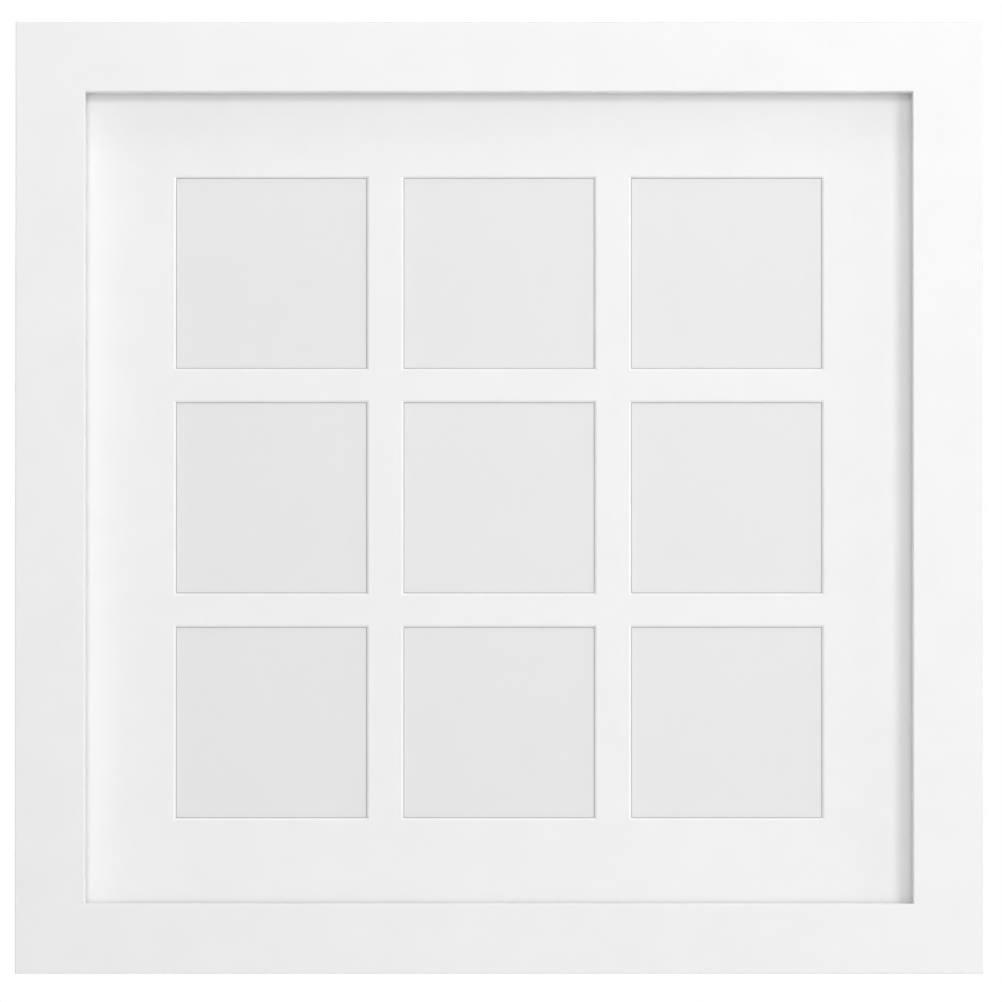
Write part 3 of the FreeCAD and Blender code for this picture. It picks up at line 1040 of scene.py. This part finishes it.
def windows_of():
    """The windows' centres and their half size at the back of the mat."""
    centres = []
    for number in range(1, WINDOW_COUNT + 1):
        low, high, middle = size_of(f"photo_card_{number}")
        centres.append(Vector((middle.x, 0, middle.z)))
    return centres, (high - low) / 2


def moving_joints(word):
    return [joint for joint in frame["joints"] if joint["name"].startswith(word)]


def add_screws(context, node, places):
    """One mesh of equal screws, each turned a little further than the last."""
    low, high, _ = size_of(node)
    name = "screw_steel"
    steel = bpy.data.materials.get(name) or plated_metal(
        name, SCREW_STEEL, 0.2, 0.34, EVEN
    )
    head = high.x - max(place.x for place in places)
    seat = high.y - HEAD_HEIGHT
    bm = bmesh.new()
    for number, place in enumerate(places):
        screw = screw_mesh(head, seat - low.y)
        turn_about_depth(screw, number * SCREW_TURN, place + BACKWARD * seat)
        join_into(bm, screw)
    add_piece(context, f"driven_{node}", bm, [steel], node)


class FrameOperator:
    """What every operator of this frame has in common"""

    bl_options = {"REGISTER", "UNDO"}


class PHOTOFRAME_OT_rails(FrameOperator, bpy.types.Operator):
    """Add the four painted rails with their mitred corners"""

    bl_idname = "photo_frame.add_rails"
    bl_label = "Rails"

    def execute(self, context):
        settings = context.scene.photo_frame_finish
        finishes = [satin_paint(settings.paint), raw_fibreboard(settings.fibreboard)]
        for node, turn in RAILS:
            bm = rail_mesh(settings, node, turn)
            add_piece(context, f"painted_{node}", bm, finishes, node)
        return {"FINISHED"}


class PHOTOFRAME_OT_corner_nails(FrameOperator, bpy.types.Operator):
    """Add the angled nails across each mitre"""

    bl_idname = "photo_frame.add_corner_nails"
    bl_label = "Corner Nails"

    gauge: FloatProperty(
        name="Gauge",
        description="Thickness of the nails' steel",
        default=0.0006,
        unit="LENGTH",
    )
    proud: FloatProperty(
        name="Proud",
        description="How far the nails stand out of the wood",
        default=0.00008,
        unit="LENGTH",
    )

    def execute(self, context):
        steel = plated_metal("nail_steel", NAIL_STEEL, 0.3, 0.5, EVEN)
        for corner in CORNERS:
            node = f"corner_nails_{corner}"
            name = f"angled_nails_{corner}"
            bm = nail_mesh(node, self.gauge, self.proud)
            add_piece(context, name, bm, [steel], node)
        return {"FINISHED"}


class PHOTOFRAME_OT_mat_board(FrameOperator, bpy.types.Operator):
    """Add the mat board with its nine bevel-cut windows"""

    bl_idname = "photo_frame.add_mat_board"
    bl_label = "Mat Board"

    def execute(self, context):
        settings = context.scene.photo_frame_finish
        windows, half_print = windows_of()
        overlap = Vector((settings.print_inset, 0, settings.print_inset))
        half_window = half_print - overlap
        finishes = [
            board_paper("mat_face", settings.mat_face, 0.25),
            board_paper("mat_core", settings.mat_core, 0.4),
            # Backing paper in a dark grey that paints the shadow line at the windows' edges
            board_paper("mat_paper", settings.mat_paper, 0.25),
        ]
        bm = mat_mesh(settings, windows, half_window)
        add_piece(context, "bevel_cut_mat", bm, finishes, "mat_board")
        return {"FINISHED"}


class PHOTOFRAME_OT_prints(FrameOperator, bpy.types.Operator):
    """Finish the nine blank prints and the card behind them"""

    bl_idname = "photo_frame.add_prints"
    bl_label = "Prints and Backing Card"

    def execute(self, context):
        card = blank_print(context.scene.photo_frame_finish.print_face)
        for number in range(1, WINDOW_COUNT + 1):
            dress_node(f"photo_card_{number}", card)
        dress_node("backing_card", grey_board())
        return {"FINISHED"}


class PHOTOFRAME_OT_glazing(FrameOperator, bpy.types.Operator):
    """Finish the clear sheet in front of the mat"""

    bl_idname = "photo_frame.add_glazing"
    bl_label = "Glazing"

    air_gap: FloatProperty(
        name="Air gap",
        description="Between the glazing and the mat behind it",
        default=0.00006,
        unit="LENGTH",
    )
    easing: FloatProperty(
        name="Easing",
        description="Width taken off the sheet's cut edges",
        default=0.00015,
        unit="LENGTH",
    )

    def execute(self, context):
        clear = clear_glazing()
        bm = panel_mesh("glazing_sheet", self.easing, self.air_gap)
        add_piece(context, "clear_glazing", bm, [clear], "glazing_sheet")
        return {"FINISHED"}


class PHOTOFRAME_OT_back_panel(FrameOperator, bpy.types.Operator):
    """Add the hardboard panel that closes the back"""

    bl_idname = "photo_frame.add_back_panel"
    bl_label = "Back Panel"

    easing: FloatProperty(
        name="Easing",
        description="Width taken off the panel's edges",
        default=0.0004,
        unit="LENGTH",
    )

    def execute(self, context):
        board = pressed_hardboard(context.scene.photo_frame_finish.hardboard)
        bm = panel_mesh("back_panel", self.easing)
        add_piece(context, "hardboard_back", bm, [board], "back_panel")
        return {"FINISHED"}


class PHOTOFRAME_OT_turn_buttons(FrameOperator, bpy.types.Operator):
    """Add the turn buttons that hold the back panel, and their screws"""

    bl_idname = "photo_frame.add_turn_buttons"
    bl_label = "Turn Buttons"

    screw_hole: FloatProperty(
        name="Screw hole",
        description="Radius of the hole in each button",
        default=0.00153,
        unit="LENGTH",
    )

    def execute(self, context):
        settings = context.scene.photo_frame_finish
        zinc = plated_metal("zinc_plate", settings.zinc, 0.26, 0.42, BRUSHED)
        seats = []
        for joint in moving_joints("turn_button"):
            node = joint["child"]
            low, high, middle = size_of(node)
            pivot = Vector((joint["pos_m"][0], 0, joint["pos_m"][2]))
            size = high - low
            radius = min(size.x, size.z) / 2
            length = max(size.x, size.z) - 2 * radius
            bm = button_mesh(radius, length, high.y, self.screw_hole)
            pointing = middle - pivot
            turn = math.degrees(math.atan2(-pointing.x, -pointing.z))
            turn_about_depth(bm, turn, pivot)
            add_piece(context, f"stamped_{node}", bm, [zinc], node, node)
            seats.append(pivot)
        add_screws(context, "turn_button_screws", seats)
        return {"FINISHED"}


class PHOTOFRAME_OT_hangers(FrameOperator, bpy.types.Operator):
    """Add the strap hangers, their rings and their screws"""

    bl_idname = "photo_frame.add_hangers"
    bl_label = "Ring Hangers"

    gauge: FloatProperty(
        name="Strap gauge",
        description="Thickness of the straps",
        default=0.0008,
        unit="LENGTH",
    )
    eye_opening: FloatProperty(
        name="Eye opening",
        description="How far past the half turn the eye is rolled, in degrees",
        default=70.0,
    )
    foot_radius: FloatProperty(
        name="Foot radius",
        description="Radius of the straps' lower corners",
        default=0.003,
        unit="LENGTH",
    )
    wire_radius: FloatProperty(
        name="Wire radius",
        description="Radius of the rings' wire",
        default=0.001,
        unit="LENGTH",
    )
    ring_corner: FloatProperty(
        name="Ring corner",
        description="Radius of the bends at the ends of the rings' bars",
        default=0.003,
        unit="LENGTH",
    )
    screw_drop: FloatProperty(
        name="Screw drop",
        description="From the rings' bars down to the screws",
        default=0.007,
        unit="LENGTH",
    )

    def execute(self, context):
        settings = context.scene.photo_frame_finish
        zinc = plated_metal("strap_zinc", settings.zinc, 0.26, 0.42, BRUSHED)
        nickel = plated_metal("ring_nickel", NICKEL, 0.1, 0.18, EVEN)
        seats = []
        for joint in moving_joints("hanger_ring"):
            ring = joint["child"]
            strap = ring.replace("ring", "strap")
            hinge = Vector(joint["pos_m"])
            low, high, _ = size_of(strap)
            bm = strap_mesh(
                high.x - low.x,
                hinge.z - low.z,
                self.gauge,
                hinge.y,
                self.eye_opening,
                self.foot_radius,
            )
            bmesh.ops.translate(bm, vec=(hinge.x, 0, hinge.z), verts=bm.verts)
            add_piece(context, f"rolled_{strap}", bm, [zinc], strap)
            low, high, middle = size_of(ring)
            half = (high.x - low.x) / 2 - self.wire_radius
            drop = high.z - low.z - 2 * self.wire_radius
            lean = math.atan2(2 * (middle.y - hinge.y), drop)
            height = drop / math.cos(lean)
            bm = ring_mesh(self.wire_radius, half, height, self.ring_corner)
            turn_verts(bm, "X", math.degrees(lean), bm.verts)
            bmesh.ops.translate(bm, vec=hinge, verts=bm.verts)
            add_piece(context, f"wire_{ring}", bm, [nickel], ring, ring)
            seats.append(Vector((hinge.x, 0, hinge.z - self.screw_drop)))
        add_screws(context, "hanger_screws", seats)
        return {"FINISHED"}


class PHOTOFRAME_OT_bumpers(FrameOperator, bpy.types.Operator):
    """Add the soft bumpers that keep the frame off the wall"""

    bl_idname = "photo_frame.add_bumpers"
    bl_label = "Wall Bumpers"

    def execute(self, context):
        rubber = soft_rubber()
        for corner in CORNERS:
            node = f"wall_bumper_{corner}"
            name = f"soft_bumper_{corner}"
            add_piece(context, name, bumper_mesh(node), [rubber], node)
        return {"FINISHED"}


# Stage


def facing(place, target):
    """The turn that points an object's -Z axis from a place at a target."""
    return (Vector(target) - Vector(place)).to_track_quat("-Z", "Y")


def add_camera(context, stage):
    data = bpy.data.cameras.new("camera")
    data.sensor_width = SENSOR_WIDTH
    data.lens = stage.lens
    data.clip_end = VIEW_DEPTH
    camera = bpy.data.objects.new("camera", data)
    camera.location = (0, -stage.camera_distance, -stage.camera_drop)
    target = Vector((stage.aim_across, 0, -stage.aim_drop))
    camera.rotation_mode = "QUATERNION"
    camera.rotation_quaternion = facing(camera.location, target)
    context.scene.collection.objects.link(camera)
    context.scene.camera = camera


def add_lamp(context, name, power, azimuth, height, distance, size):
    """A soft lamp that faces the frame, placed by two angles from its front."""
    aim = Vector((0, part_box("top_rail")[0].y, 0))
    across = math.radians(azimuth)
    above = math.radians(height)
    level = distance * math.cos(above)
    place = aim + Vector(
        (level * math.sin(across), -level * math.cos(across), distance * math.sin(above))
    )
    data = bpy.data.lights.new(name, "AREA")
    data.shape = "RECTANGLE"
    data.size, data.size_y = size
    data.energy = power
    lamp = bpy.data.objects.new(name, data)
    lamp.location = place
    lamp.rotation_mode = "QUATERNION"
    lamp.rotation_quaternion = facing(place, aim)
    context.scene.collection.objects.link(lamp)


def bright_rays(tree):
    """One for rays that should see the background at full white."""
    rays = tree.nodes.new("ShaderNodeLightPath").outputs
    total = rays["Is Camera Ray"]
    for name in ("Is Glossy Ray", "Is Transmission Ray"):
        total = combined(tree, "MAXIMUM", total, rays[name])
    return total


def add_room(context, strength):
    """Even light all round, against a white background."""
    world = bpy.data.worlds.new("pale_room")
    context.scene.world = world
    world.use_nodes = True
    tree = world.node_tree
    tree.nodes.clear()
    tree.nodes.new("ShaderNodeOutputWorld")
    lit = tree.nodes.new("ShaderNodeBackground")
    lit.inputs["Color"].default_value = WHITE
    lit.inputs["Strength"].default_value = strength
    seen = tree.nodes.new("ShaderNodeBackground")
    seen.inputs["Color"].default_value = WHITE
    seen.inputs["Strength"].default_value = 1.0
    mix_shaders(
        tree, bright_rays(tree), lit.outputs["Background"], seen.outputs["Background"]
    )


def fading_floor():
    """A pale floor's material, which fades to the white of the background."""
    material, tree, shader, place = new_tree("pale_floor")
    shader.inputs["Base Color"].default_value = FLOOR_COLOUR
    shader.inputs["Roughness"].default_value = 0.8
    white = tree.nodes.new("ShaderNodeEmission")
    white.inputs["Color"].default_value = WHITE
    distance = tree.nodes.new("ShaderNodeVectorMath")
    distance.operation = "LENGTH"
    tree.links.new(place, distance.inputs[0])
    far = spread(tree, distance.outputs["Value"], 0.0, 1.0, *FLOOR_FADE)
    fade = combined(tree, "MULTIPLY", far, bright_rays(tree))
    mix_shaders(tree, fade, shader.outputs["BSDF"], white.outputs["Emission"])
    return material


def add_floor(context, drop):
    """A round floor under the frame."""
    bm = bmesh.new()
    bmesh.ops.create_circle(bm, cap_ends=True, segments=FLOOR_STEPS, radius=FLOOR_RADIUS)
    bmesh.ops.translate(bm, vec=-UP * drop, verts=bm.verts)
    mesh = bpy.data.meshes.new("pale_floor")
    bm.to_mesh(mesh)
    bm.free()
    mesh.materials.append(fading_floor())
    floor = bpy.data.objects.new("pale_floor", mesh)
    context.scene.collection.objects.link(floor)


class PHOTOFRAME_OT_stage(FrameOperator, bpy.types.Operator):
    """Add the camera, the soft lamps, the pale room and the floor"""

    bl_idname = "photo_frame.add_stage"
    bl_label = "Stage"

    def execute(self, context):
        stage = context.scene.photo_frame_stage
        context.scene.view_settings.view_transform = "Standard"
        add_camera(context, stage)
        for name, azimuth, height, distance, size in LAMPS:
            power = getattr(stage, f"{name}_power")
            add_lamp(context, f"{name}_lamp", power, azimuth, height, distance, size)
        add_room(context, stage.room_light)
        add_floor(context, stage.floor_drop)
        return {"FINISHED"}


# Panel and start


OPERATORS = (
    PHOTOFRAME_OT_rails,
    PHOTOFRAME_OT_corner_nails,
    PHOTOFRAME_OT_mat_board,
    PHOTOFRAME_OT_prints,
    PHOTOFRAME_OT_glazing,
    PHOTOFRAME_OT_back_panel,
    PHOTOFRAME_OT_turn_buttons,
    PHOTOFRAME_OT_hangers,
    PHOTOFRAME_OT_bumpers,
    PHOTOFRAME_OT_stage,
)


class PHOTOFRAME_PT_pieces(bpy.types.Panel):
    """Lists the pieces of the photo frame"""

    bl_idname = "PHOTOFRAME_PT_pieces"
    bl_label = "Photo Frame"
    bl_space_type = "VIEW_3D"
    bl_region_type = "UI"
    bl_category = "Photo Frame"

    def draw(self, context):
        for operator in OPERATORS:
            self.layout.operator(operator.bl_idname)
        for group in (context.scene.photo_frame_finish, context.scene.photo_frame_stage):
            column = self.layout.column()
            for name in group.__annotations__:
                column.prop(group, name)


CLASSES = (FinishSettings, StageSettings, *OPERATORS, PHOTOFRAME_PT_pieces)


def register():
    for item in CLASSES:
        bpy.utils.register_class(item)
    bpy.types.Scene.photo_frame_finish = PointerProperty(type=FinishSettings)
    bpy.types.Scene.photo_frame_stage = PointerProperty(type=StageSettings)


def unregister():
    del bpy.types.Scene.photo_frame_stage
    del bpy.types.Scene.photo_frame_finish
    for item in reversed(CLASSES):
        bpy.utils.unregister_class(item)


def main():
    register()
    for operator in OPERATORS:
        group, name = operator.bl_idname.split(".")
        getattr(getattr(bpy.ops, group), name)()


if __name__ == "__main__":
    main()
